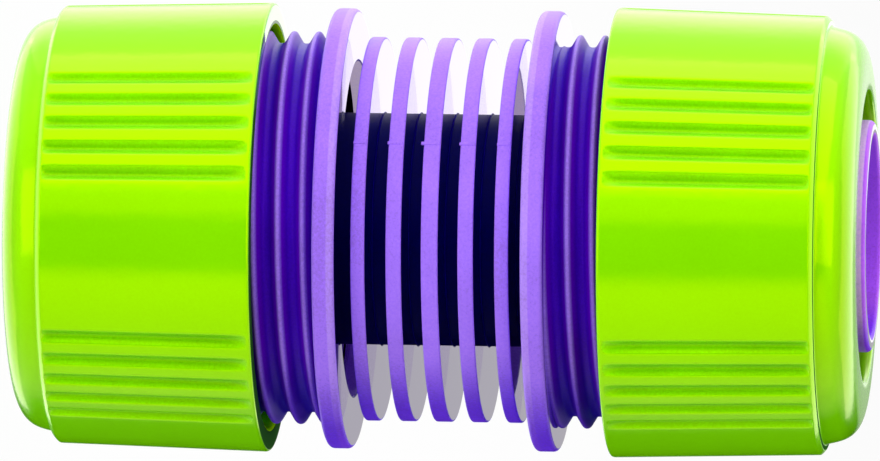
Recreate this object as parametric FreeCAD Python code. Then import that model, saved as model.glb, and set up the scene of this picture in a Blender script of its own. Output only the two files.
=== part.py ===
import FreeCAD, Part
import math
import os

# Hose mender for 19 mm (3/4 inch) garden hose, in millimetres.
# It stands on the lower nut's front face. Z runs up the bore and X, Y are square to it.
# One end is modelled pointing up from the middle fin, and turned over for the lower end.

# Tube with a plain hose tail at each end
tail_radius = 10.05
tail_wall = 1.35
tail_beyond_collar = 15.0
tail_chamfer = 0.4

# Grip fins between the flanges, thickest in the middle
fin_depth = 6.6
fin_pitch = 3.1
fins_each_side = 2
middle_fin_thickness = 1.46
fin_thinning = 0.12

# Flange that stops the nut, with a recess round the tube on its fin side
flange_from_last_fin = 1.8
flange_thickness = 1.94
flange_beyond_thread = 2.05
flange_edge_chamfer = 0.4
recess_width = 4.45
recess_depth = 2.2
web_thickness = 1.6

# Threaded collar, open towards the hose
hose_space = 3.85
collar_wall = 2.1
collar_length = 12.06
collar_end_chamfer = 0.3

# Right-hand single-start thread on the collar, which starts inside the flange
thread_pitch = 2.15
thread_height = 1.05
crest_width = 0.28
thread_base_width = 1.52
thread_run_in = 0.05
thread_end_margin = 1.0
thread_start_angle = {"upper": 171.6, "lower": 148.2}

# Thread inside the nut, which clears the collar's thread all round
thread_gap = 0.25
nut_thread_from = 1.55
nut_thread_relief = 3.0
nut_crest_width = 0.4

# Nut
nut_open_wall = 2.2
nut_far_wall = 1.7
nut_bevel = 0.4
mouth_chamfer = 0.3
cavity_end_gap = 0.14
cone_step = 0.6
cone_length = 8.15
front_wall_thickness = 1.57
hose_opening_space = 2.55
dome_length = 3.37
dome_base_step = 0.9
dome_taper = 0.75
dome_shoulder_width = 2.15
dome_crown = 0.62
dome_shoulder_rounding = 1.5

# Finger flutes on the nut, in bands with plain stretches between them
flute_bands = 5
flutes_per_band = 5
flute_step_angle = 7.0
flute_width = 1.2
flute_depth = 0.45
flute_open_margin = 0.75
flute_far_margin = 0.3
band_from_thread_angle = 15.1

# Turns that each nut stands off its flange
nut_turns = {"upper": 2.155, "lower": 2.473}

# Gripper ring, a split cone that the nut closes on the hose
ring_gap = 0.3
ring_back_gap = 0.3
ring_front_gap = 0.15
ring_front_space = 0.9
ring_hoop_length = 2.3
ring_tooth_space = 2.7
ring_tooth_depth = 0.75
ring_teeth = 2
ring_tooth_margin = 0.2
ring_tooth_slope_share = 0.75
ring_fingers = 8
ring_slot_width = 1.4

# How far the ends of ridges and cuts reach into or past the solid they meet
sink = 0.3

bore_radius = tail_radius - tail_wall
fin_radius = tail_radius + fin_depth
recess_radius = tail_radius + recess_width
collar_bore_radius = tail_radius + hose_space
thread_root_radius = collar_bore_radius + collar_wall
thread_crest_radius = thread_root_radius + thread_height
flange_radius = thread_crest_radius + flange_beyond_thread
flange_inner_at = fins_each_side * fin_pitch + flange_from_last_fin
flange_outer_at = flange_inner_at + flange_thickness
collar_reach = flange_outer_at + collar_length
tail_reach = collar_reach + tail_beyond_collar
thread_start_at = flange_outer_at - thread_base_width / 2 - thread_run_in
flank = (thread_base_width - crest_width) / 2

nut_cavity_radius = thread_crest_radius + thread_gap
nut_crest_radius = thread_root_radius + thread_gap
nut_open_radius = nut_cavity_radius + nut_open_wall
nut_far_radius = nut_cavity_radius + nut_far_wall
dome_base_radius = nut_far_radius - dome_base_step
dome_shoulder_radius = dome_base_radius - dome_taper
dome_face_radius = dome_shoulder_radius - dome_shoulder_width
hose_opening_radius = tail_radius + hose_opening_space
cavity_reach = collar_length + cavity_end_gap
nut_front_inner = cavity_reach + cone_length
nut_length = nut_front_inner + front_wall_thickness
nut_grip_length = nut_length - dome_length
nut_thread_to = cavity_reach - nut_thread_relief

ring_tooth_radius = tail_radius + ring_tooth_space
ring_bore_radius = ring_tooth_radius + ring_tooth_depth
cone_wide_radius = nut_cavity_radius - cone_step
cone_narrow_radius = ring_bore_radius + ring_front_space
ring_from = cavity_reach + ring_back_gap
ring_length = nut_front_inner - ring_front_gap - ring_from
stand_height = flange_outer_at + nut_turns["lower"] * thread_pitch + nut_length


def corner(radius, height, chamfer=0, rounding=0):
    """Corner of an outline, sharp unless it has a chamfer or a rounding."""
    return FreeCAD.Vector(radius, 0, height), chamfer, rounding


def outline_wire(corners):
    """Closed outline in the XZ plane through the corners."""
    edges = []
    count = len(corners)
    places = [place for place, chamfer, rounding in corners]
    starts = []
    ends = []
    middles = []
    for i in range(count):
        here = places[i]
        before = places[i - 1] - here
        after = places[(i + 1) % count] - here
        chamfer, rounding = corners[i][1:]
        if chamfer + rounding <= 0:
            starts.append(here)
            ends.append(here)
            middles.append(None)
            continue
        half = before.getAngle(after) / 2
        reach = chamfer + rounding / math.tan(half)
        limit = 0.45 * min(before.Length, after.Length)
        if reach > limit:
            rounding = rounding * limit / reach
            reach = limit
        before.normalize()
        after.normalize()
        inward = before + after
        inward.normalize()
        starts.append(here + before * reach)
        ends.append(here + after * reach)
        middle = here + inward * (rounding / math.sin(half) - rounding)
        middles.append(middle if rounding > 0 else None)
    for i in range(count):
        if middles[i] is not None:
            edges.append(Part.Arc(starts[i], middles[i], ends[i]).toShape())
        elif (ends[i] - starts[i]).Length > 1e-6:
            edges.append(Part.LineSegment(starts[i], ends[i]).toShape())
        following = starts[(i + 1) % count]
        if (following - ends[i]).Length > 1e-6:
            edges.append(Part.LineSegment(ends[i], following).toShape())
    return Part.Wire(edges)


def revolved(corners):
    face = Part.Face(outline_wire(corners))
    return face.revolve(FreeCAD.Vector(0, 0, 0), FreeCAD.Vector(0, 0, 1), 360)


def helical_ridge(section, from_height, to_height):
    """Ridge with the (radius, height) section swept up a right-hand helix that starts on +X."""
    rise = to_height - from_height
    radius = section[0][0]
    helix = Part.makeLongHelix(thread_pitch, rise, radius)
    corners = [FreeCAD.Vector(r, 0, z) for r, z in section]
    profile = Part.makePolygon(corners + corners[:1])
    sweep = Part.BRepOffsetAPI.MakePipeShell(Part.Wire(helix))
    sweep.setBiNormalMode(FreeCAD.Vector(0, 0, 1))
    sweep.add(profile)
    sweep.build()
    sweep.makeSolid()
    ridge = sweep.shape()
    ridge.translate(FreeCAD.Vector(0, 0, from_height))
    return ridge


def turned(shape, angle):
    shape.rotate(FreeCAD.Vector(0, 0, 0), FreeCAD.Vector(0, 0, 1), angle)
    return shape


def body_half_outline():
    """Outline of the upper half, from the middle fin out to the bore's mouth."""
    corners = []
    for i in range(fins_each_side + 1):
        height = i * fin_pitch
        half = (middle_fin_thickness - i * fin_thinning) / 2
        if i > 0:
            corners.append(corner(tail_radius, height - half))
            corners.append(corner(fin_radius, height - half))
        corners.append(corner(fin_radius, height + half))
        corners.append(corner(tail_radius, height + half))
    web_inner = flange_inner_at + recess_depth
    web_outer = web_inner + web_thickness
    corners += [
        corner(tail_radius, web_inner),
        corner(recess_radius, web_inner),
        corner(recess_radius, flange_inner_at),
        corner(flange_radius, flange_inner_at, flange_edge_chamfer),
        corner(flange_radius, flange_outer_at, flange_edge_chamfer),
        corner(thread_root_radius, flange_outer_at),
        corner(thread_root_radius, collar_reach, collar_end_chamfer),
        corner(collar_bore_radius, collar_reach),
        corner(collar_bore_radius, web_outer),
        corner(tail_radius, web_outer),
    ]
    corners.append(corner(tail_radius, tail_reach, tail_chamfer))
    corners.append(corner(bore_radius, tail_reach))
    return corners


def collar_thread(end):
    base = thread_root_radius - sink
    top = thread_crest_radius
    lower_base = flank / thread_height * sink
    section = [
        (base, -thread_base_width / 2 - lower_base),
        (base, thread_base_width / 2 + lower_base),
        (top, crest_width / 2),
        (top, -crest_width / 2),
    ]
    ridge = helical_ridge(section, thread_start_at, collar_reach - thread_end_margin)
    return turned(ridge, thread_start_angle[end])


def mender_body():
    upper = body_half_outline()
    lower = [
        corner(place.x, -place.z, chamfer, rounding)
        for place, chamfer, rounding in reversed(upper)
    ]
    core = revolved(lower + upper)
    upper_thread = collar_thread("upper")
    lower_thread = placed_at_end(collar_thread("lower"), "lower")
    return core.fuse([upper_thread, lower_thread])


def flute():
    """Round-bottomed groove with square ends, which lies along the nut's tapered side."""
    radius = (flute_width ** 2 / 4 + flute_depth ** 2) / (2 * flute_depth)
    lift = radius - flute_depth
    taper = (nut_open_radius - nut_far_radius) / nut_grip_length
    low = flute_open_margin
    high = nut_grip_length - nut_bevel - flute_far_margin
    start = FreeCAD.Vector(nut_open_radius - taper * low + lift, 0, low)
    end = FreeCAD.Vector(nut_open_radius - taper * high + lift, 0, high)
    return Part.makeCylinder(radius, (end - start).Length, start, end - start)


def nut():
    """Nut with its open edge at height 0 and its thread where it meshes at the flange."""
    shell = revolved([
        corner(nut_open_radius, 0),
        corner(nut_far_radius, nut_grip_length - nut_bevel),
        corner(nut_far_radius - nut_bevel, nut_grip_length),
        corner(dome_base_radius, nut_grip_length),
        corner(
            dome_shoulder_radius,
            nut_length - dome_crown,
            rounding=dome_shoulder_rounding,
        ),
        corner(dome_face_radius, nut_length),
        corner(hose_opening_radius, nut_length),
        corner(hose_opening_radius, nut_front_inner),
        corner(cone_narrow_radius, nut_front_inner),
        corner(cone_wide_radius, cavity_reach),
        corner(nut_cavity_radius, cavity_reach),
        corner(nut_cavity_radius, mouth_chamfer),
        corner(nut_cavity_radius + mouth_chamfer, 0),
    ])
    base = nut_cavity_radius + sink
    slope = flank / thread_height
    half = nut_crest_width / 2 + slope * (thread_height + sink)
    section = [
        (nut_crest_radius, -nut_crest_width / 2),
        (nut_crest_radius, nut_crest_width / 2),
        (base, half),
        (base, -half),
    ]
    ridge = helical_ridge(section, nut_thread_from, nut_thread_to)
    mesh_height = thread_start_at - flange_outer_at + thread_pitch / 2
    turned(ridge, (nut_thread_from - mesh_height) / thread_pitch * 360)
    whole = shell.fuse([ridge])
    grooves = []
    for band in range(flute_bands):
        centre = band_from_thread_angle + band * 360 / flute_bands
        for i in range(flutes_per_band):
            angle = centre + (i - (flutes_per_band - 1) / 2) * flute_step_angle
            grooves.append(turned(flute(), angle))
    return whole.cut(grooves)


def gripper_ring():
    """Ring with its back face at height 0, as it lies in the nut's cone."""
    slope = (cone_wide_radius - cone_narrow_radius) / cone_length
    inset = ring_gap * math.hypot(1, slope)
    back = cone_wide_radius - slope * (ring_from - cavity_reach) - inset
    front = back - slope * ring_length
    corners = [corner(back, 0), corner(front, ring_length)]
    tooth_pitch = (ring_length - ring_hoop_length) / ring_teeth
    for i in range(ring_teeth):
        tip = ring_length - ring_tooth_margin - i * tooth_pitch
        corners.append(corner(ring_tooth_radius, tip))
        corners.append(corner(ring_bore_radius, tip - ring_tooth_slope_share * tooth_pitch))
    corners.append(corner(ring_bore_radius, 0))
    hoop = revolved(corners)
    slots = []
    depth = back - ring_tooth_radius + 2 * sink
    for i in range(ring_fingers):
        slot = Part.makeBox(
            depth,
            ring_slot_width,
            ring_length,
            FreeCAD.Vector(ring_tooth_radius - sink, -ring_slot_width / 2, ring_hoop_length),
        )
        slots.append(turned(slot, i * 360 / ring_fingers))
    return hoop.cut(slots)


def placed_at_end(shape, end):
    """Turns a shape modelled for the upper end over to the lower end."""
    if end == "lower":
        shape.rotate(FreeCAD.Vector(0, 0, 0), FreeCAD.Vector(1, 0, 0), 180)
    return shape


def screwed_on(shape, end):
    """Turns a shape in the nut's frame to its place on the collar's thread."""
    turns = nut_turns[end]
    turned(shape, thread_start_angle[end] + 360 * turns)
    shape.translate(FreeCAD.Vector(0, 0, flange_outer_at + turns * thread_pitch))
    return placed_at_end(shape, end)


def seated_ring(end):
    ring = gripper_ring()
    ring.translate(FreeCAD.Vector(0, 0, ring_from))
    return screwed_on(ring, end)


pieces = {"mender_body": mender_body()}
for end in ("lower", "upper"):
    pieces[end + "_nut"] = screwed_on(nut(), end)
    pieces[end + "_gripper_ring"] = seated_ring(end)

os.makedirs("parts", exist_ok=True)
for name, shape in pieces.items():
    shape.translate(FreeCAD.Vector(0, 0, stand_height))
    if not shape.isValid():
        print("not valid:", name)
    print(name, len(shape.Solids), "solids, volume", round(shape.Volume, 1))
    shape.exportStep(os.path.join("parts", name + ".step"))
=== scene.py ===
import bmesh
import bpy
import math
from mathutils import Matrix, Vector


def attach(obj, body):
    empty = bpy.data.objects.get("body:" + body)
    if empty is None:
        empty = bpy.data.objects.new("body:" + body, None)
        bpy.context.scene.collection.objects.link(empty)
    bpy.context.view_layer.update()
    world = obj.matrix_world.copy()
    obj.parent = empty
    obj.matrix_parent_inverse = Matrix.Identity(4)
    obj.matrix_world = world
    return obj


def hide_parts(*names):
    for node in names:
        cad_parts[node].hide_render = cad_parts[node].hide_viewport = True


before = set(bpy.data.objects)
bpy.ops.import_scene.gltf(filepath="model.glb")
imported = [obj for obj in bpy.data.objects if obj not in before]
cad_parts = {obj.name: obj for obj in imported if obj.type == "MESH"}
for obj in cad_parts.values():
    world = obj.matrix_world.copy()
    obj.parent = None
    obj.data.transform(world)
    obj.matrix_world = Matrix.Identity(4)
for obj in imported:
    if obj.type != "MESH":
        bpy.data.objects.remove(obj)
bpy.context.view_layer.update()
mm = 0.001
middleHeight = 37.177 * mm  # the tube's middle above the face that the mender stands on
threadPitch = 2.15 * mm
threadStart = {"upper": 171.6, "lower": 148.2}  # degrees round the tube
nutTurns = {"upper": 2.155, "lower": 2.473}  # turns off the flange
# Metres within which a vertex counts as being at a place
exactly = 1e-7
mergeWithin = 1e-6
foundWithin = 2e-6
roughly = 2e-5
print("frame loaded:", len(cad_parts), "nodes")


def onlyActive(piece):
    bpy.ops.object.select_all(action="DESELECT")
    piece.select_set(True)
    bpy.context.view_layer.objects.active = piece


def openEdit(piece, mode="VERT"):
    onlyActive(piece)
    bpy.ops.object.mode_set(mode="EDIT")
    bpy.ops.mesh.select_mode(type=mode)
    bpy.ops.mesh.select_all(action="DESELECT")


def closeEdit():
    bpy.ops.object.mode_set(mode="OBJECT")


def pickVerts(piece, test):
    work = bmesh.from_edit_mesh(piece.data)
    for vert in work.verts:
        vert.select_set(bool(test(vert.co)))
    work.select_flush_mode()
    bmesh.update_edit_mesh(piece.data)


def pickRims(piece, test):
    work = bmesh.from_edit_mesh(piece.data)
    for edge in work.edges:
        open_ = edge.is_boundary or edge.is_wire
        edge.select_set(open_ and all(test(vert.co) for vert in edge.verts))
    bmesh.update_edit_mesh(piece.data)


# An outline drawn point by point in the XZ plane. A corner is its x and z in millimetres, with
# the width and the segments of its rounding if it has one.
def growOutline(name, corners, closed=True):
    bpy.ops.object.select_all(action="DESELECT")
    bpy.ops.mesh.primitive_plane_add(size=mm, location=(0, 0, 0))
    piece = bpy.context.object
    piece.name = name
    piece.data.name = name
    bpy.ops.object.mode_set(mode="EDIT")
    bpy.ops.mesh.select_mode(type="VERT")
    bpy.ops.mesh.select_all(action="SELECT")
    bpy.ops.mesh.merge(type="CENTER")
    here = Vector((corners[0][0] * mm, 0, corners[0][1] * mm))
    bpy.ops.transform.translate(value=here)
    for corner in corners[1:]:
        place = Vector((corner[0] * mm, 0, corner[1] * mm))
        bpy.ops.mesh.extrude_region_move(TRANSFORM_OT_translate={"value": place - here})
        here = place
    if closed:
        first = Vector((corners[0][0] * mm, 0, corners[0][1] * mm))
        pickVerts(piece, lambda co: min((co - first).length, (co - here).length) < exactly)
        bpy.ops.mesh.edge_face_add()
    for corner in corners:
        if len(corner) > 2:
            place = Vector((corner[0] * mm, 0, corner[1] * mm))
            pickVerts(piece, lambda co: (co - place).length < foundWithin)
            bpy.ops.mesh.bevel(offset=corner[2] * mm, segments=corner[3], affect="VERTICES")
    return piece


def spinRound(piece, steps):
    bpy.ops.mesh.select_all(action="SELECT")
    bpy.ops.mesh.spin(steps=steps, angle=2 * math.pi, center=(0, 0, 0), axis=(0, 0, 1))
    tidyShell()


def tidyShell():
    bpy.ops.mesh.select_all(action="SELECT")
    bpy.ops.mesh.remove_doubles(threshold=mergeWithin)
    bpy.ops.mesh.normals_make_consistent(inside=False)


def towerFrom(name, rows, sides):  # rings stacked by extruding and scaling the last one
    bpy.ops.object.select_all(action="DESELECT")
    radius, height = rows[0]
    bpy.ops.mesh.primitive_circle_add(
        vertices=sides, radius=radius * mm, location=(0, 0, 0), fill_type="NOTHING"
    )
    piece = bpy.context.object
    piece.name = name
    piece.data.name = name
    bpy.ops.object.mode_set(mode="EDIT")
    bpy.ops.mesh.select_mode(type="EDGE")
    bpy.ops.mesh.select_all(action="SELECT")
    bpy.ops.transform.translate(value=(0, 0, height * mm))
    for r, z in rows[1:]:
        rise = (z - height) * mm
        bpy.ops.mesh.extrude_region_move(TRANSFORM_OT_translate={"value": (0, 0, rise)})
        ratio = r / radius
        bpy.ops.transform.resize(value=(ratio, ratio, 1), center_override=(0, 0, 0))
        radius, height = r, z
    return piece


def applyModifier(piece, kind, **settings):
    onlyActive(piece)
    bpy.ops.object.modifier_add(type=kind)
    modifier = piece.modifiers[-1]
    for key, value in settings.items():
        setattr(modifier, key, value)
    bpy.ops.object.modifier_apply(modifier=modifier.name)


def copyOf(piece, name):
    onlyActive(piece)
    bpy.ops.object.duplicate(linked=False)
    copy = bpy.context.object
    copy.name = name
    copy.data.name = name
    return copy


def settle(piece, turn, lift, turnedOver):  # what belongs to the lower end is turned over
    matrix = Matrix.Translation((0, 0, lift)) @ Matrix.Rotation(math.radians(turn), 4, "Z")
    if turnedOver:
        matrix = Matrix.Rotation(math.pi, 4, "X") @ matrix
    piece.matrix_world = Matrix.Translation((0, 0, middleHeight)) @ matrix
    onlyActive(piece)
    bpy.ops.object.transform_apply(location=True, rotation=True, scale=True)


def joined(pieces, name):
    bpy.ops.object.select_all(action="DESELECT")
    for piece in pieces:
        piece.select_set(True)
    bpy.context.view_layer.objects.active = pieces[0]
    bpy.ops.object.join()
    whole = bpy.context.object
    whole.name = name
    whole.data.name = name
    return whole


def smoothed(piece, angle):
    onlyActive(piece)
    bpy.ops.object.shade_smooth_by_angle(angle=math.radians(angle))


# The violet moulding: tube, five fins, two flanges and two threaded collars
moulding = {  # millimetres, with heights from the middle; a rounding has a width and segments
    "sides": 240,
    "tail": 10.05,
    "tailEnd": 37.0,
    "tailEdge": (0.5, 5),
    "bore": 8.7,
    "boreEdge": (0.3, 3),
    "fin": 16.65,
    "finPitch": 3.1,
    "finThickness": (1.46, 1.34, 1.22),  # from the middle fin outwards
    "finEdge": (0.16, 3),
    "finRoot": (0.12, 2),
    "flange": 19.1,
    "flangeFrom": 8.0,
    "flangeTo": 9.94,
    "flangeEdge": (0.42, 5),
    "recess": 14.5,
    "recessEdge": (0.2, 2),
    "recessFillet": (0.3, 2),
    "web": 15.4,  # the wall between the recess and the collar's inside
    "webFrom": 10.2,
    "webTo": 11.8,
    "webFillet": (0.25, 2),
}
flangeOuter = moulding["flangeTo"] * mm
threadShape = {
    "root": 16.0,
    "crest": 17.05,
    "crestWidth": 0.24,
    "baseWidth": 1.52,
    "crestEdge": (0.08, 3),
    "rootEdge": (0.22, 3),
    "ridgeMiddle": 9.13,  # the height at which the ridge passes the +X side
    "turnsBelow": 3,
    "turns": 11,
    "from": 9.45,
    "to": 22.0,
    "collarBore": 13.9,
    "mouthEdge": 0.3,
    "innerFloor": 11.2,
    "innerStep": 15.1,
    "steps": 240,
}


def mouldingCorners():
    s = moulding
    half = []
    for i, thickness in enumerate(s["finThickness"]):
        middle = i * s["finPitch"]
        thick = thickness / 2
        if i > 0:
            half.append((s["tail"], middle - thick) + s["finRoot"])
            half.append((s["fin"], middle - thick) + s["finEdge"])
        half.append((s["fin"], middle + thick) + s["finEdge"])
        half.append((s["tail"], middle + thick) + s["finRoot"])
    half += [
        (s["tail"], s["webFrom"]) + s["webFillet"],
        (s["recess"], s["webFrom"]) + s["recessFillet"],
        (s["recess"], s["flangeFrom"]) + s["recessEdge"],
        (s["flange"], s["flangeFrom"]) + s["flangeEdge"],
        (s["flange"], s["flangeTo"]) + s["flangeEdge"],
        (s["web"], s["flangeTo"]),
        (s["web"], s["webTo"]),
        (s["tail"], s["webTo"]) + s["webFillet"],
        (s["tail"], s["tailEnd"]) + s["tailEdge"],
        (s["bore"], s["tailEnd"]) + s["boreEdge"],
    ]
    other = [(corner[0], -corner[1]) + corner[2:] for corner in reversed(half)]
    return other + half


def makeCollar():
    s = threadShape
    pitch = threadPitch / mm
    low = s["ridgeMiddle"] - s["turnsBelow"] * pitch
    land = (pitch - s["baseWidth"]) / 2
    corners = [
        (s["root"], low - pitch / 2),
        (s["root"], low - pitch / 2 + land) + s["rootEdge"],
        (s["crest"], low - s["crestWidth"] / 2) + s["crestEdge"],
        (s["crest"], low + s["crestWidth"] / 2) + s["crestEdge"],
        (s["root"], low + pitch / 2 - land) + s["rootEdge"],
        (s["root"], low + pitch / 2),
    ]
    collar = growOutline("collar", corners, closed=False)
    closeEdit()
    applyModifier(
        collar,
        "SCREW",
        axis="Z",
        angle=2 * math.pi,
        screw_offset=threadPitch,
        iterations=s["turns"],
        steps=s["steps"],
        render_steps=s["steps"],
        use_merge_vertices=True,
        merge_threshold=mergeWithin,
    )
    openEdit(collar)
    for height, up in ((s["to"], 1), (s["from"], -1)):
        bpy.ops.mesh.select_all(action="SELECT")
        bpy.ops.mesh.bisect(
            plane_co=(0, 0, height * mm),
            plane_no=(0, 0, up),
            clear_outer=True,
            threshold=exactly,
        )
    closeEdit()
    rows = [
        (s["innerStep"], s["from"]),
        (s["innerStep"], s["innerFloor"]),
        (s["collarBore"], s["innerFloor"]),
        (s["collarBore"], s["to"] - s["mouthEdge"]),
        (s["collarBore"] + s["mouthEdge"], s["to"]),
    ]
    inner = towerFrom("collarInner", rows, s["steps"])
    closeEdit()
    collar = joined([collar, inner], "collar")
    openEdit(collar, "EDGE")
    for height in (s["to"], s["from"]):
        pickRims(collar, lambda co: abs(co.z - height * mm) < foundWithin)
        bpy.ops.mesh.bridge_edge_loops()
    tidyShell()
    closeEdit()
    return collar


nubShape = {
    "angle": -116.5,
    "out": 16.6,
    "deep": 0.18,
    "across": 0.3,
    "inset": 0.1,  # from the fin's upper edge
    "past": (0.24, 0.1, 0.02),  # how much longer it is, from the middle fin outwards
    "edge": 0.05,
}


def makeNub(i):  # the small mark that the mould's parting line leaves on each fin's rim
    s = nubShape
    half = moulding["finThickness"][abs(i)] / 2
    long = 2 * half - s["inset"] + s["past"][abs(i)]
    bpy.ops.object.select_all(action="DESELECT")
    bpy.ops.mesh.primitive_cube_add(size=mm, location=(0, 0, 0))
    nub = bpy.context.object
    openEdit(nub)
    bpy.ops.mesh.select_all(action="SELECT")
    bpy.ops.transform.resize(value=(s["deep"], s["across"], long), center_override=(0, 0, 0))
    height = i * moulding["finPitch"] + half - s["inset"] - long / 2
    bpy.ops.transform.translate(value=(s["out"] * mm, 0, height * mm))
    bpy.ops.transform.rotate(
        value=-math.radians(s["angle"]), orient_axis="Z", center_override=(0, 0, 0)
    )
    bpy.ops.mesh.select_mode(type="EDGE")
    bpy.ops.mesh.select_all(action="SELECT")
    bpy.ops.mesh.bevel(offset=s["edge"] * mm, segments=2, affect="EDGES")
    closeEdit()
    return nub


core = growOutline("menderCore", mouldingCorners())
spinRound(core, moulding["sides"])
closeEdit()
core = joined([core] + [makeNub(i) for i in range(-2, 3)], "menderCore")
upperCollar = makeCollar()
lowerCollar = copyOf(upperCollar, "lowerCollar")
settle(core, 0, 0, False)
settle(upperCollar, threadStart["upper"], 0, False)
settle(lowerCollar, threadStart["lower"], 0, True)
menderMoulding = joined([core, upperCollar, lowerCollar], "menderMoulding")
smoothed(menderMoulding, 50)
applyModifier(menderMoulding, "WEIGHTED_NORMAL", keep_sharp=True)
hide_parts("mender_body")
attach(menderMoulding, "body")
print("moulding made:", len(menderMoulding.data.polygons), "faces")

# The fluted nuts: a ring tower with a column to each degree, its grooves pulled in, then smoothed
nutShape = {  # millimetres and degrees
    "sides": 360,
    "open": 19.5,
    "far": 19.0,
    "grip": 18.55,
    "outside": 18.5,  # only the outside lies further out
    "bandAngle": 15,
    "bands": 5,
    "bandMargin": 3.3,  # degrees past the middle of a band's outer grooves
    "grooves": 5,
    "grooveStep": 7,
    "grooveDepth": 0.5,
    "columnHalf": 0.12,  # degrees to either side of a column
}
grooveColumns = {0: 1.0, 1: 0.68}  # share of the depth at each column from the groove's middle
columnShift = {2: -0.18, 3: -0.7}  # degrees, which draws the columns to the groove's edge
grooveRows = {  # share of the depth at each height
    0.6: 0.3, 1.0: 0.6, 1.6: 0.85, 2.4: 1.0, 9.2: 1.0,
    17.2: 1.0, 17.7: 0.85, 17.95: 0.6, 18.1: 0.35,
}
nutOutline = {  # radii and heights, from the open end up the outside and back down the inside
    "mouth": ((17.6, 0.0), (18.4, 0.0), (19.2, 0.0), (19.42, 0.05)),
    "side": (0.25, 0.4),  # heights under the grooves
    "shoulder": ((19.0, 18.18), (18.94, 18.26), (18.68, 18.5), (18.6, 18.55), (18.3, 18.56)),
    "dome": (
        (18.12, 18.58), (18.06, 18.7), (17.95, 19.2), (17.78, 19.9), (17.5, 20.55),
        (17.05, 21.1), (16.4, 21.52), (15.6, 21.78), (14.6, 21.9), (13.6, 21.92),
    ),
    "opening": (
        (12.95, 21.92), (12.7, 21.86), (12.6, 21.65), (12.6, 20.7), (12.62, 20.45), (12.75, 20.35),
    ),
    "cone": ((14.25, 20.35), (14.42, 20.28), (15.4, 16.8), (16.66, 12.32), (16.8, 12.2)),
    "cavity": (
        (17.15, 12.2), (17.3, 12.05), (17.3, 9.2), (17.3, 5.0),
        (17.3, 0.75), (17.32, 0.5), (17.5, 0.12),
    ),
}
nutThread = {
    "base": 17.6,
    "crest": 16.25,
    "baseHalf": 0.75,
    "crestHalf": 0.2,
    "crestEdge": (0.1, 2),
    "from": 1.55,
    "to": 9.2,
    "steps": 144,
}


def sideRadius(height):
    return nutShape["open"] - (nutShape["open"] - nutShape["far"]) * height / nutShape["grip"]


def nutRows():
    s = nutOutline
    rows = list(s["mouth"])
    for height in s["side"] + tuple(sorted(grooveRows)):
        rows.append((sideRadius(height), height))
    for part in ("shoulder", "dome", "opening", "cone", "cavity"):
        rows += s[part]
    return rows


def nearGroove(co, column):  # 1 or -1 by the side of its groove on which this column's vertex lies
    s = nutShape
    angle = math.degrees(math.atan2(co.y, co.x)) - s["bandAngle"]
    spread = 360 / s["bands"]
    local = (angle + spread / 2) % spread - spread / 2
    step = s["grooveStep"]
    if abs(local) > (s["grooves"] - 1) / 2 * step + s["bandMargin"]:
        return 0
    offset = (local + step / 2) % step - step / 2
    if abs(abs(offset) - column) < s["columnHalf"]:
        return 1 if offset >= 0 else -1
    return 0


def makeNut():
    s = nutShape
    rows = nutRows()
    nut = towerFrom("nut", rows, s["sides"])
    pickRims(nut, lambda co: any(
        abs(co.z - z * mm) < mergeWithin and abs(co.xy.length - r * mm) < roughly
        for r, z in (rows[0], rows[-1])
    ))
    bpy.ops.mesh.bridge_edge_loops()
    tidyShell()
    bpy.ops.mesh.select_mode(type="VERT")
    for height, share in grooveRows.items():
        for column, depth in grooveColumns.items():
            pickVerts(nut, lambda co: (
                abs(co.z - height * mm) < roughly
                and co.xy.length > s["outside"] * mm
                and nearGroove(co, column)
            ))
            radius = sideRadius(height)
            ratio = (radius - s["grooveDepth"] * depth * share) / radius
            bpy.ops.transform.resize(value=(ratio, ratio, 1), center_override=(0, 0, 0))
    for column, shift in columnShift.items():
        for side in (1, -1):
            pickVerts(nut, lambda co: nearGroove(co, column) == side)
            bpy.ops.transform.rotate(
                value=-math.radians(shift) * side,
                orient_axis="Z",
                center_override=(0, 0, 0),
            )
    closeEdit()
    applyModifier(nut, "SUBSURF", levels=1, render_levels=1)
    return nut


def makeNutThread():
    s = nutThread
    pitch = threadPitch / mm
    corners = [
        (s["base"], -s["baseHalf"]),
        (s["crest"], -s["crestHalf"]) + s["crestEdge"],
        (s["crest"], s["crestHalf"]) + s["crestEdge"],
        (s["base"], s["baseHalf"]),
    ]
    ridge = growOutline("nutRidge", corners)
    closeEdit()
    turns = (s["to"] - s["from"]) / pitch
    applyModifier(
        ridge,
        "SCREW",
        axis="Z",
        angle=2 * math.pi * turns,
        screw_offset=threadPitch * turns,
        iterations=1,
        steps=round(s["steps"] * turns),
        render_steps=round(s["steps"] * turns),
    )
    openEdit(ridge, "EDGE")
    bpy.ops.mesh.select_non_manifold(extend=False, use_wire=False)
    bpy.ops.mesh.edge_face_add()
    tidyShell()
    closeEdit()
    groove = threadShape["ridgeMiddle"] - flangeOuter / mm + pitch / 2  # where it meshes on +X
    turn = (s["from"] - groove) / pitch * 360
    ridge.matrix_world = (
        Matrix.Translation((0, 0, s["from"] * mm))
        @ Matrix.Rotation(math.radians(turn), 4, "Z")
    )
    onlyActive(ridge)
    bpy.ops.object.transform_apply(location=True, rotation=True, scale=True)
    return ridge


shell = makeNut()
ridge = makeNutThread()
nutModel = joined([shell, ridge], "nutModel")
smoothed(nutModel, 60)
applyModifier(nutModel, "WEIGHTED_NORMAL", keep_sharp=True)
nutPieces = {"upper": nutModel, "lower": copyOf(nutModel, "lowerNutShell")}
for end, piece in nutPieces.items():
    turn = threadStart[end] + 360 * nutTurns[end]
    settle(piece, turn, flangeOuter + nutTurns[end] * threadPitch, end == "lower")
    piece.name = end + "NutShell"
    piece.data.name = piece.name
    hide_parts(end + "_nut")
    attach(piece, end + "_nut")
print("nuts made:", len(nutPieces["upper"].data.polygons), "faces each")


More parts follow.
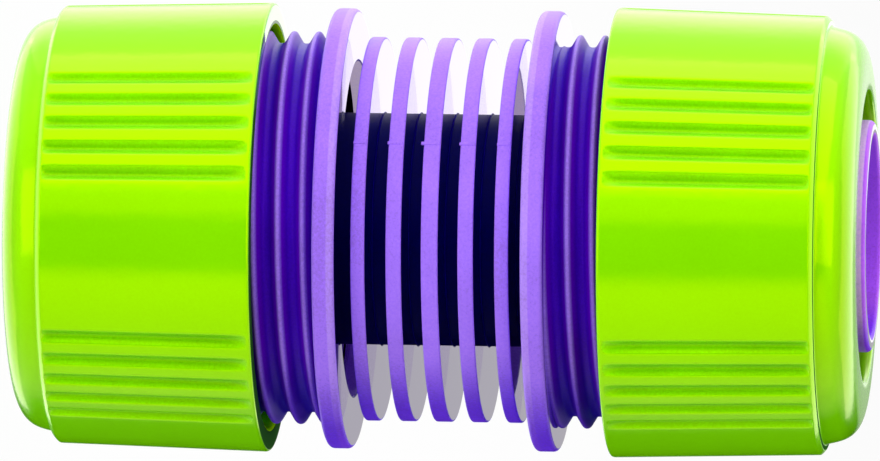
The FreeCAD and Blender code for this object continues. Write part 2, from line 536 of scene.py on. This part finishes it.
# Finishes
def newMaterial(name):
    material = bpy.data.materials.new(name)
    material.use_nodes = True
    nodes = material.node_tree.nodes
    nodes.clear()
    return material, nodes, material.node_tree.links


def addNode(nodes, kind, label, **settings):
    node = nodes.new(kind)
    node.label = label
    for key, value in settings.items():
        setattr(node, key, value)
    return node


def colourNode(nodes, colour, label):
    node = addNode(nodes, "ShaderNodeRGB", label)
    node.outputs[0].default_value = colour + (1,)
    return node.outputs[0]


def mathNode(nodes, links, operation, first, second, label):  # the second is a number or an output
    node = addNode(nodes, "ShaderNodeMath", label, operation=operation)
    links.new(first, node.inputs[0])
    if isinstance(second, bpy.types.NodeSocket):
        links.new(second, node.inputs[1])
    else:
        node.inputs[1].default_value = second
    return node.outputs[0]


def between(nodes, links, value, limits, label, kind="SMOOTHSTEP"):  # 0 at the first limit, then 1
    node = addNode(nodes, "ShaderNodeMapRange", label, interpolation_type=kind)
    node.inputs["From Min"].default_value = limits[0]
    node.inputs["From Max"].default_value = limits[1]
    links.new(value, node.inputs["Value"])
    return node.outputs[0]


def rampNode(nodes, links, value, stops, label):
    node = addNode(nodes, "ShaderNodeValToRGB", label)
    elements = node.color_ramp.elements
    while len(elements) < len(stops):
        elements.new(0.5)
    for element, (place, colour) in zip(elements, stops):
        element.position = place
        element.color = colour + (1,)
    links.new(value, node.inputs[0])
    return node.outputs[0]


def mixColours(nodes, links, share, first, second, label):
    node = addNode(nodes, "ShaderNodeMix", label, data_type="RGBA")
    links.new(share, node.inputs[0])
    links.new(first, node.inputs[6])
    links.new(second, node.inputs[7])
    return node.outputs[2]


def mixShaders(nodes, links, share, first, second, label):
    node = addNode(nodes, "ShaderNodeMixShader", label)
    links.new(share, node.inputs[0])
    links.new(first.outputs[0], node.inputs[1])
    links.new(second.outputs[0], node.inputs[2])
    return node


surfaceNoise = {  # scale on Object coordinates, detail and roughness
    "Broad flow": (90, 3, 0.5),
    "Fine mottle": (4200, 4, 0.7),
    "Orange peel": (900, 2, 0.5),
}


def mouldedGroup():
    group = bpy.data.node_groups.new("mouldedSurface", "ShaderNodeTree")
    sockets = group.interface
    for name, value in (("Mottle", 0.1), ("Rough Low", 0.3), ("Rough High", 0.45)):
        socket = sockets.new_socket(name=name, in_out="INPUT", socket_type="NodeSocketFloat")
        socket.default_value = value
    for name in ("Shade", "Roughness", "Height"):
        sockets.new_socket(name=name, in_out="OUTPUT", socket_type="NodeSocketFloat")
    nodes = group.nodes
    links = group.links
    inside = addNode(nodes, "NodeGroupInput", "In")
    outside = addNode(nodes, "NodeGroupOutput", "Out")
    coords = addNode(nodes, "ShaderNodeTexCoord", "Coordinates")
    noise = {}
    for label, (scale, detail, rough) in surfaceNoise.items():
        node = addNode(nodes, "ShaderNodeTexNoise", label)
        node.inputs["Scale"].default_value = scale
        node.inputs["Detail"].default_value = detail
        node.inputs["Roughness"].default_value = rough
        links.new(coords.outputs["Object"], node.inputs["Vector"])
        noise[label] = node.outputs["Fac"]
    both = mathNode(nodes, links, "ADD", noise["Broad flow"], noise["Fine mottle"], "Both")
    spread = mathNode(nodes, links, "SUBTRACT", both, 1.0, "Spread about nought")
    amount = mathNode(nodes, links, "MULTIPLY", spread, inside.outputs["Mottle"], "Amount")
    shade = mathNode(nodes, links, "ADD", amount, 1.0, "Shade")
    links.new(shade, outside.inputs["Shade"])
    rough = addNode(nodes, "ShaderNodeMapRange", "Roughness")
    links.new(noise["Fine mottle"], rough.inputs["Value"])
    links.new(inside.outputs["Rough Low"], rough.inputs["To Min"])
    links.new(inside.outputs["Rough High"], rough.inputs["To Max"])
    links.new(rough.outputs[0], outside.inputs["Roughness"])
    links.new(noise["Orange peel"], outside.inputs["Height"])
    return group


moulded = mouldedGroup()


def placeNodes(nodes, links):  # X, radius in millimetres, and distance from the middle, as outputs
    coords = addNode(nodes, "ShaderNodeTexCoord", "Coordinates")
    apart = addNode(nodes, "ShaderNodeSeparateXYZ", "Apart")
    links.new(coords.outputs["Object"], apart.inputs[0])
    flat = addNode(nodes, "ShaderNodeCombineXYZ", "Across the tube")
    links.new(apart.outputs["X"], flat.inputs["X"])
    links.new(apart.outputs["Y"], flat.inputs["Y"])
    length = addNode(nodes, "ShaderNodeVectorMath", "Radius", operation="LENGTH")
    links.new(flat.outputs[0], length.inputs[0])
    radius = mathNode(nodes, links, "MULTIPLY", length.outputs["Value"], 1000, "Millimetres")
    above = mathNode(
        nodes, links, "SUBTRACT", apart.outputs["Z"], middleHeight, "From the middle"
    )
    outward = mathNode(nodes, links, "ABSOLUTE", above, 0, "Outward")
    return apart.outputs["X"], radius, outward


def litSide(nodes, links, limits):  # by X: 0 on the shaded side, 1 on the side with the lamps
    coords = addNode(nodes, "ShaderNodeTexCoord", "Coordinates")
    apart = addNode(nodes, "ShaderNodeSeparateXYZ", "Apart")
    links.new(coords.outputs["Object"], apart.inputs[0])
    return between(nodes, links, apart.outputs["X"], limits, "Lit side")


def shadedColour(nodes, links, colour, shade):
    product = addNode(nodes, "ShaderNodeVectorMath", "Mottled", operation="SCALE")
    links.new(colour, product.inputs[0])
    links.new(shade, product.inputs["Scale"])
    return product.outputs[0]


def startPlastic(name, s):
    material, nodes, links = newMaterial(name)
    out = addNode(nodes, "ShaderNodeOutputMaterial", "Out")
    shader = addNode(nodes, "ShaderNodeBsdfPrincipled", "Plastic")
    shader.inputs["IOR"].default_value = s["ior"]
    shader.inputs["Specular IOR Level"].default_value = s["level"]
    shader.inputs["Specular Tint"].default_value = s["tint"] + (1,)
    if "through" in s:  # painted glow: an emission that stands in for light in the recess, lighter above and darker below
        lit = litSide(nodes, links, s["lit"])
        above = colourNode(nodes, s["through"], "Above")
        below = colourNode(nodes, s["throughBelow"], "Below")
        glow = mixColours(nodes, links, lit, below, above, "Painted glow")
        links.new(glow, shader.inputs["Emission Color"])
        shader.inputs["Emission Strength"].default_value = 1
    if "thin" in s:  # light that spreads inside the nuts' mouth
        shader.inputs["Subsurface Weight"].default_value = 1
        shader.inputs["Subsurface Radius"].default_value = s["spread"]
        shader.inputs["Subsurface Scale"].default_value = s["thin"]
    links.new(shader.outputs[0], out.inputs["Surface"])
    return material, nodes, links, shader


# Flat end faces turn bright as a mirror when they are seen edge on
mirrorFinish = {"facing": (0.8, 0.88), "coatRough": 0.03, "coatIor": 2, "rough": 0.05}
peelStrength = 0.5


def finishSurface(nodes, links, s, colour, shader):
    surface = addNode(nodes, "ShaderNodeGroup", "Moulded surface", node_tree=moulded)
    surface.inputs["Mottle"].default_value = s["mottle"]
    surface.inputs["Rough Low"].default_value = s["rough"][0]
    surface.inputs["Rough High"].default_value = s["rough"][1]
    mottled = shadedColour(nodes, links, colour, surface.outputs["Shade"])
    rough = surface.outputs["Roughness"]
    if s["mirror"]:
        weight = addNode(nodes, "ShaderNodeLayerWeight", "Edge on")
        edge = between(nodes, links, weight.outputs["Facing"], mirrorFinish["facing"], "Grazing")
        if "shade" in s:  # the lower side of the nuts' open ends lies in the flanges' shade
            lit = litSide(nodes, links, s["lit"])
            shade = colourNode(nodes, s["shade"], "Shade")
            mottled = mixColours(nodes, links, lit, shade, mottled, "Shaded side")
            edge = mathNode(nodes, links, "MULTIPLY", edge, lit, "Grazing and lit")
        links.new(edge, shader.inputs["Metallic"])
        links.new(edge, shader.inputs["Coat Weight"])
        shader.inputs["Coat Roughness"].default_value = mirrorFinish["coatRough"]
        shader.inputs["Coat IOR"].default_value = mirrorFinish["coatIor"]
        smooth = addNode(nodes, "ShaderNodeMix", "Smooth when edge on", data_type="FLOAT")
        smooth.inputs[3].default_value = mirrorFinish["rough"]
        links.new(edge, smooth.inputs[0])
        links.new(rough, smooth.inputs[2])
        rough = smooth.outputs[0]
    links.new(mottled, shader.inputs["Base Color"])
    links.new(rough, shader.inputs["Roughness"])
    if s["bump"]:
        bump = addNode(nodes, "ShaderNodeBump", "Peel")
        bump.inputs["Strength"].default_value = peelStrength
        bump.inputs["Distance"].default_value = s["bump"]
        links.new(surface.outputs["Height"], bump.inputs["Height"])
        links.new(bump.outputs[0], shader.inputs["Normal"])


def plainPlastic(name, s):
    material, nodes, links, shader = startPlastic(name, s)
    colour = colourNode(nodes, s["colour"], "Colour")
    finishSurface(nodes, links, s, colour, shader)
    return material


violetFinish = {
    "rim": (0.38, 0.185, 1.0),
    "paleRim": (0.47, 0.27, 1.0),
    # painted shade: face, root and flank darken the violet deep between the fins and in the thread
    # roots
    "face": (0.2, 0.06, 0.66),
    "root": (0.012, 0.0, 0.38),
    "flank": (0.1, 0.0, 0.46),
    # painted highlight: the crest colour lightens the thread crests
    "crest": (0.3, 0.16, 0.76),
    # painted light: the tail is a lighter copy of the violet, where the nut's opening shades it
    "tail": (0.75, 0.46, 1.0),
    "bore": (0.5, 0.12, 1.0),
    # painted shade: this tint darkens the violet on the lower, shaded side
    "paintedShade": (0.42, 0.18, 0.95),
    "lit": (0.96, 0.62),  # share of the radius below the axis where the shaded side ends
    "ior": 1.5,
    "level": 0.25,
    "tint": (0.7, 0.1, 1.0),
    "rough": (0.34, 0.46),
    "mottle": 0.8,
    "mirror": False,
    "bump": 0.00004,
}
violetRadii = (10, 20)
# painted shade by radius: the violet darkens deeper between the fins and in the thread roots
violetRamps = {  # the colours above, by the share of the way between these radii
    "fins": ((0.0, "bore"), (0.003, "root"), (0.3, "root"), (0.5, "face"), (0.64, "rim")),
    "threads": (
        (0.0, "bore"), (0.5, "bore"), (0.58, "root"),
        (0.67, "flank"), (0.703, "crest"), (0.8, "crest"),
    ),
    "tails": ((0.0, "bore"), (0.001, "tail")),
}
violetZones = {  # metres from the middle, where each zone fades in
    "flange": (7.9 * mm, 8.0 * mm),
    "pale": (8.75 * mm, 8.6 * mm),
    "thread": (9.85 * mm, 9.95 * mm),
    "tail": (24 * mm, 27 * mm),
}
# painted shade: the tube between the fins gets a dark navy copy of the violet
tubeFinish = dict(
    violetFinish, colour=(0.0, 0.0, 0.11), tint=(0.9, 0.8, 1.0), level=0.03, rough=(0.35, 0.5)
)
recessFinish = dict(
    violetFinish,
    # painted light: a pale violet-grey colour and a painted glow (through, throughBelow) stand in
    # for light in the recess
    colour=(0.6, 0.5, 0.75),
    rough=(0.5, 0.6),
    through=(0.34, 0.28, 0.38),
    throughBelow=(0.015, 0.002, 0.09),
    lit=(0.004, -0.004),
)
violetFaceFinish = dict(
    violetFinish,
    colour=(0.3, 0.12, 0.8),
    tint=(1.0, 0.94, 1.0),
    mirror=True,
    bump=0.000004,
    mottle=0.1,
)


def violetMaterial():
    s = violetFinish
    material, nodes, links, shader = startPlastic("violetMoulding", s)
    x, radius, outward = placeNodes(nodes, links)
    depth = between(nodes, links, radius, violetRadii, "Depth", "LINEAR")
    colours = {}
    for name, stops in violetRamps.items():
        stops = [(place, s[key]) for place, key in stops]
        colours[name] = rampNode(nodes, links, depth, stops, name)
    shares = {}
    for name, limits in violetZones.items():
        shares[name] = between(nodes, links, outward, limits, name)
    pale = mathNode(nodes, links, "MULTIPLY", shares["flange"], shares["pale"], "Pale third")
    paleRim = colourNode(nodes, s["paleRim"], "Pale rim")
    colour = mixColours(nodes, links, pale, colours["fins"], paleRim, "Flange zone")
    colour = mixColours(nodes, links, shares["thread"], colour, colours["threads"], "Thread zone")
    # painted light: the tails get the lighter tail violet
    colour = mixColours(nodes, links, shares["tail"], colour, colours["tails"], "Tail zone")
    # painted shade: the violet turns darker and bluer on the lower side, by X
    around = mathNode(nodes, links, "DIVIDE", x, radius, "Place round the tube")
    lit = between(nodes, links, around, [share * mm for share in s["lit"]], "Lit side")
    paintedShade = addNode(nodes, "ShaderNodeVectorMath", "Deeper violet", operation="MULTIPLY")
    paintedShade.inputs[1].default_value = s["paintedShade"]
    links.new(colour, paintedShade.inputs[0])
    colour = mixColours(nodes, links, lit, paintedShade.outputs[0], colour, "Painted shade on the lower side")
    finishSurface(nodes, links, s, colour, shader)
    return material


limeFinish = {
    "grip": (0.268, 0.89, 0.0),
    # painted shade: the inside colour is a darker copy of the lime inside the nut
    "inside": (0.2, 0.7, 0.0),
    "ior": 1.6,
    "level": 1.0,
    "tint": (1.0, 1.0, 0.0),
    "rough": (0.1, 0.2),
    "mottle": 0.1,
    "mirror": False,
    "bump": 0.00003,
}
limeRadii = (16, 20)
limeRamp = ((0.0, "inside"), (0.3, "inside"), (0.42, "grip"), (1.0, "grip"))
insideFinish = dict(
    limeFinish, colour=(0.25, 0.75, 0.0), level=0.0, thin=0.003, spread=(1, 1, 0.2)
)
grooveFinish = dict(limeFinish, level=0.6, rough=(0.24, 0.36), mottle=0.5, bump=0.00005)
grooveColours = {
    # painted shade: the deep colour darkens the lime at the grooves' bottoms
    "deep": (0.165, 0.66, 0.0),
    "rim": (0.268, 0.89, 0.0),
    "depth": (0.42, 0.04),
    "openEnds": 14.9,  # how far the nuts' open ends lie from the middle, on average
}
limeFaceFinish = dict(
    limeFinish,
    colour=(0.268, 0.89, 0.0),
    shade=(0.03, 0.12, 0.02),
    lit=(-0.009, -0.016),
    tint=(1.0, 1.0, 1.0),
    level=0.0,
    mirror=True,
    bump=0,
    mottle=0.05,
)


def limeMaterial():
    s = limeFinish
    material, nodes, links, shader = startPlastic("limeMoulding", s)
    radius = placeNodes(nodes, links)[1]
    depth = between(nodes, links, radius, limeRadii, "Depth", "LINEAR")
    stops = [(place, s[key]) for place, key in limeRamp]
    colour = rampNode(nodes, links, depth, stops, "Lime by depth")
    finishSurface(nodes, links, s, colour, shader)
    return material


def grooveMaterial():  # painted shade: darker towards the groove's bottom, which runs along the nut's taper
    s = grooveColours
    material, nodes, links, shader = startPlastic("limeGrooves", grooveFinish)
    radius, outward = placeNodes(nodes, links)[1:]
    taper = (nutShape["open"] - nutShape["far"]) / nutShape["grip"]
    lost = mathNode(nodes, links, "MULTIPLY", outward, taper / mm, "Taper")
    whole = mathNode(nodes, links, "ADD", radius, lost, "Radius without the taper")
    side = nutShape["open"] + taper * s["openEnds"]
    limits = (side - s["depth"][0], side - s["depth"][1])
    share = between(nodes, links, whole, limits, "Height in the groove")
    deep = colourNode(nodes, s["deep"], "Deep")
    rim = colourNode(nodes, s["rim"], "Rim")
    colour = mixColours(nodes, links, share, deep, rim, "Groove")
    finishSurface(nodes, links, grooveFinish, colour, shader)
    return material


ringColour = (0.7, 0.73, 0.66)


def ringMaterial():
    material, nodes, links = newMaterial("greyMoulding")
    out = addNode(nodes, "ShaderNodeOutputMaterial", "Out")
    shader = addNode(nodes, "ShaderNodeBsdfPrincipled", "Plastic")
    surface = addNode(nodes, "ShaderNodeGroup", "Moulded surface", node_tree=moulded)
    base = colourNode(nodes, ringColour, "Grey white")
    mottled = shadedColour(nodes, links, base, surface.outputs["Shade"])
    links.new(mottled, shader.inputs["Base Color"])
    links.new(surface.outputs["Roughness"], shader.inputs["Roughness"])
    links.new(shader.outputs[0], out.inputs["Surface"])
    return material


def dress(piece, material):
    piece.data.materials.clear()
    piece.data.materials.append(material)


# The test takes a face's radius and distance from the middle, in millimetres, and how far its
# normal runs along the tube.
def dressFaces(piece, material, test):
    piece.data.materials.append(material)
    openEdit(piece, "FACE")
    work = bmesh.from_edit_mesh(piece.data)
    for face in work.faces:
        middle = face.calc_center_median()
        outward = abs(middle.z - middleHeight) / mm
        face.select_set(bool(test(middle.xy.length / mm, outward, abs(face.normal.z))))
    bmesh.update_edit_mesh(piece.data)
    piece.active_material_index = len(piece.data.materials) - 1
    bpy.ops.object.material_slot_assign()
    closeEdit()


flat = 0.98  # an end face's normal runs along the tube by more than this
steep = 0.9  # and a round face's by less than this
violetAreas = {
    "ends": {"radius": 8.9, "flanges": 9.96, "tails": 36},
    "recess": {"radius": (14, 14.6), "height": (7.9, 10.3)},
    "tube": {"radius": (9, 10.3), "height": 10.3},
}
limeAreas = {  # with heights from the nut's open end
    "ends": {"radius": 17.5},
    "inside": {"flatRadius": 17.6, "radius": 18.2, "height": 1.3},
    "grooves": {"radius": 18.3, "under": 0.04, "height": 18.1, "slant": 0.5},
}


def violetEnd(radius, outward, slant):
    s = violetAreas["ends"]
    return slant > flat and radius > s["radius"] and not s["flanges"] <= outward <= s["tails"]


def violetRecess(radius, outward, slant):
    s = violetAreas["recess"]
    low, high = s["height"]
    return slant < steep and s["radius"][0] < radius < s["radius"][1] and low < outward < high


def violetTube(radius, outward, slant):
    s = violetAreas["tube"]
    return slant < steep and s["radius"][0] < radius < s["radius"][1] and outward < s["height"]


def limeEnd(radius, height, slant):
    return slant > flat and radius > limeAreas["ends"]["radius"]


def limeInside(radius, height, slant):
    s = limeAreas["inside"]
    return radius < s["flatRadius" if slant > flat else "radius"] and height < s["height"]


def limeGroove(radius, height, slant):
    s = limeAreas["grooves"]
    inGroove = s["radius"] < radius < sideRadius(height) - s["under"]
    return inGroove and height < s["height"] and slant < s["slant"]


dress(menderMoulding, violetMaterial())
dressFaces(menderMoulding, plainPlastic("violetEndFaces", violetFaceFinish), violetEnd)
dressFaces(menderMoulding, plainPlastic("violetRecess", recessFinish), violetRecess)
dressFaces(menderMoulding, plainPlastic("violetTube", tubeFinish), violetTube)
lime = limeMaterial()
limeParts = {
    limeEnd: plainPlastic("limeEndFaces", limeFaceFinish),
    limeInside: plainPlastic("limeInside", insideFinish),
    limeGroove: grooveMaterial(),
}
for end, piece in nutPieces.items():
    start = (flangeOuter + nutTurns[end] * threadPitch) / mm
    dress(piece, lime)
    for test, material in limeParts.items():
        dressFaces(piece, material, lambda radius, outward, slant: (
            test(radius, outward - start, slant)
        ))
grey = ringMaterial()
for end in ("lower", "upper"):
    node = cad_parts[end + "_gripper_ring"]
    for slot in node.material_slots:
        slot.material = grey
print("finishes made")

# Stage, lights and camera
white = (1, 1, 1)
floorSettings = {
    "half": 3.0,
    "height": -3.9 * mm,  # clear of the lower nut at its lowest
    "colour": (0.85, 0.85, 0.85),
    "glow": 0.96,  # share of plain white that the camera sees
}


def makeStage():
    s = floorSettings
    bpy.ops.object.select_all(action="DESELECT")
    bpy.ops.mesh.primitive_plane_add(size=s["half"] * 2, location=(0, 0, s["height"]))
    floor = bpy.context.object
    floor.name = "floor"
    material, nodes, links = newMaterial("whiteFloor")
    out = addNode(nodes, "ShaderNodeOutputMaterial", "Out")
    plain = addNode(nodes, "ShaderNodeBsdfDiffuse", "Pale floor")
    plain.inputs["Color"].default_value = s["colour"] + (1,)
    glow = addNode(nodes, "ShaderNodeEmission", "White")
    glow.inputs["Color"].default_value = white + (1,)
    clear = addNode(nodes, "ShaderNodeBsdfTransparent", "Clear")
    path = addNode(nodes, "ShaderNodeLightPath", "Path").outputs
    seen = mathNode(nodes, links, "MULTIPLY", path["Is Camera Ray"], s["glow"], "Share")
    passing = mathNode(
        nodes, links, "MAXIMUM", path["Is Glossy Ray"], path["Is Shadow Ray"], "Passing ray"
    )
    mix = mixShaders(nodes, links, seen, plain, glow, "Seen white")
    through = mixShaders(nodes, links, passing, mix, clear, "Clear to mirrors and lamps")
    links.new(through.outputs[0], out.inputs["Surface"])
    dress(floor, material)


worldSettings = {
    "room": 0.18,
    "mirrored": 1.15,
    "ends": (0.3, 0.6),  # how far along the tube a direction runs where the pattern turns white
    "levels": (  # (degrees of tilt, brightness), clockwise from straight behind
        (-180, 1), (-140, 1), (-122, 0.1), (-95, 0.3), (-8, 1), (-3, 0), (21, 0), (25, 1),
        (75, 0.65), (110, 0.65), (125, 0), (172, 0), (175, 0.4), (180, 0.4),
    ),
}


def makeWorld():
    s = worldSettings
    world = bpy.data.worlds.new("studio")
    bpy.context.scene.world = world
    world.use_nodes = True
    nodes = world.node_tree.nodes
    links = world.node_tree.links
    nodes.clear()
    out = addNode(nodes, "ShaderNodeOutputWorld", "Out")
    room = addNode(nodes, "ShaderNodeBackground", "Room light")
    room.inputs["Color"].default_value = white + (1,)
    room.inputs["Strength"].default_value = s["room"]
    seen = addNode(nodes, "ShaderNodeBackground", "White backdrop")
    seen.inputs["Color"].default_value = white + (1,)
    mirrored = addNode(nodes, "ShaderNodeBackground", "Mirrored backdrop")
    mirrored.inputs["Strength"].default_value = s["mirrored"]
    coords = addNode(nodes, "ShaderNodeTexCoord", "Directions")
    apart = addNode(nodes, "ShaderNodeSeparateXYZ", "Apart")
    links.new(coords.outputs["Generated"], apart.inputs[0])
    x, y, z = apart.outputs
    towards = mathNode(nodes, links, "MULTIPLY", y, -1, "Towards the front")
    tilt = mathNode(nodes, links, "ARCTAN2", x, towards, "Tilt")  # 0 to the front, then downwards
    turn = between(nodes, links, tilt, (-math.pi, math.pi), "Share of a turn", "LINEAR")
    stops = [((angle + 180) / 360, (level, level, level)) for angle, level in s["levels"]]
    bands = rampNode(nodes, links, turn, stops, "Backdrop by tilt")
    sideways = mathNode(nodes, links, "ABSOLUTE", z, 0, "Along the tube")
    ends = between(nodes, links, sideways, s["ends"], "Towards the ends")
    plain = colourNode(nodes, white, "White")
    pattern = mixColours(nodes, links, ends, bands, plain, "Pattern")
    links.new(pattern, mirrored.inputs["Color"])
    path = addNode(nodes, "ShaderNodeLightPath", "Path").outputs
    gloss = mixShaders(nodes, links, path["Is Glossy Ray"], room, mirrored, "Mirrored or room")
    mix = mixShaders(nodes, links, path["Is Camera Ray"], gloss, seen, "Seen or not")
    links.new(mix.outputs[0], out.inputs["Surface"])


lampSettings = {  # wide runs round the tube, tall along it; aim 1 faces the tube's middle
    "keyPanel": {"at": (-0.52, -0.30, 0.04), "wide": 1.0, "tall": 0.7, "power": 4.6, "aim": 0},
    "topPanel": {"at": (-0.47, 0.37, 0.04), "wide": 0.72, "tall": 0.7, "power": 1.35, "aim": 0},
    "lowPanel": {"at": (0.53, -0.28, 0.04), "wide": 0.85, "tall": 0.7, "power": 0.9, "aim": 0},
    "rightStrip": {"at": (-0.06, -0.45, 0.36), "wide": 0.42, "tall": 0.2, "power": 0.5, "aim": 1},
    "leftStrip": {"at": (-0.06, -0.45, -0.29), "wide": 0.42, "tall": 0.2, "power": 0.5, "aim": 1},
    "rightPanel": {"at": (0, 0.25, 0.55), "wide": 0.9, "tall": 0.8, "power": 3.0, "aim": 1},
    "leftPanel": {"at": (0, 0.25, -0.48), "wide": 0.9, "tall": 0.8, "power": 3.0, "aim": 1},
}


def makeLamps():
    for name, s in lampSettings.items():
        lamp = bpy.data.lights.new(name, "AREA")
        lamp.shape = "RECTANGLE"
        lamp.size = s["wide"]
        lamp.size_y = s["tall"]
        lamp.energy = s["power"]
        holder = bpy.data.objects.new(name, lamp)
        bpy.context.scene.collection.objects.link(holder)
        holder.location = s["at"]
        aim = Vector((-s["at"][0], -s["at"][1], 0))
        if s["aim"]:  # or else square to the tube
            aim.z = middleHeight - s["at"][2]
        holder.rotation_mode = "QUATERNION"
        holder.rotation_quaternion = aim.to_track_quat("-Z", "Y")


cameraSettings = {
    "lens": 697.0,
    "sensor": 36,
    "distance": 1.478,
    "picture": (880, 461),
    "middle": (447.98, 229.83),  # the tube's middle in the picture
    "alongTube": (0.9951, -0.0150, 0.0977),  # in the camera's own axes
    "clip": (0.05, 50),
}


def makeCamera():
    s = cameraSettings
    camera = bpy.data.cameras.new("camera")
    camera.lens = s["lens"]
    camera.sensor_width = s["sensor"]
    camera.clip_start, camera.clip_end = s["clip"]
    holder = bpy.data.objects.new("camera", camera)
    bpy.context.scene.collection.objects.link(holder)
    bpy.context.scene.camera = holder
    alongTube = Vector(s["alongTube"]).normalized()
    up = Vector((0, 1, 0))
    across = -(up - alongTube * up.dot(alongTube)).normalized()
    away = alongTube.cross(across)
    turn = Matrix((across, away, alongTube))
    wide, high = s["picture"]
    perPixel = s["sensor"] / s["lens"] / wide * s["distance"]
    right = (s["middle"][0] - wide / 2) * perPixel
    above = (high / 2 - s["middle"][1]) * perPixel
    place = Vector((0, 0, middleHeight)) - turn @ Vector((right, above, -s["distance"]))
    holder.matrix_world = Matrix.Translation(place) @ turn.to_4x4()


makeStage()
makeWorld()
makeLamps()
makeCamera()
bpy.context.scene.view_settings.view_transform = "Standard"
print("scene ready")
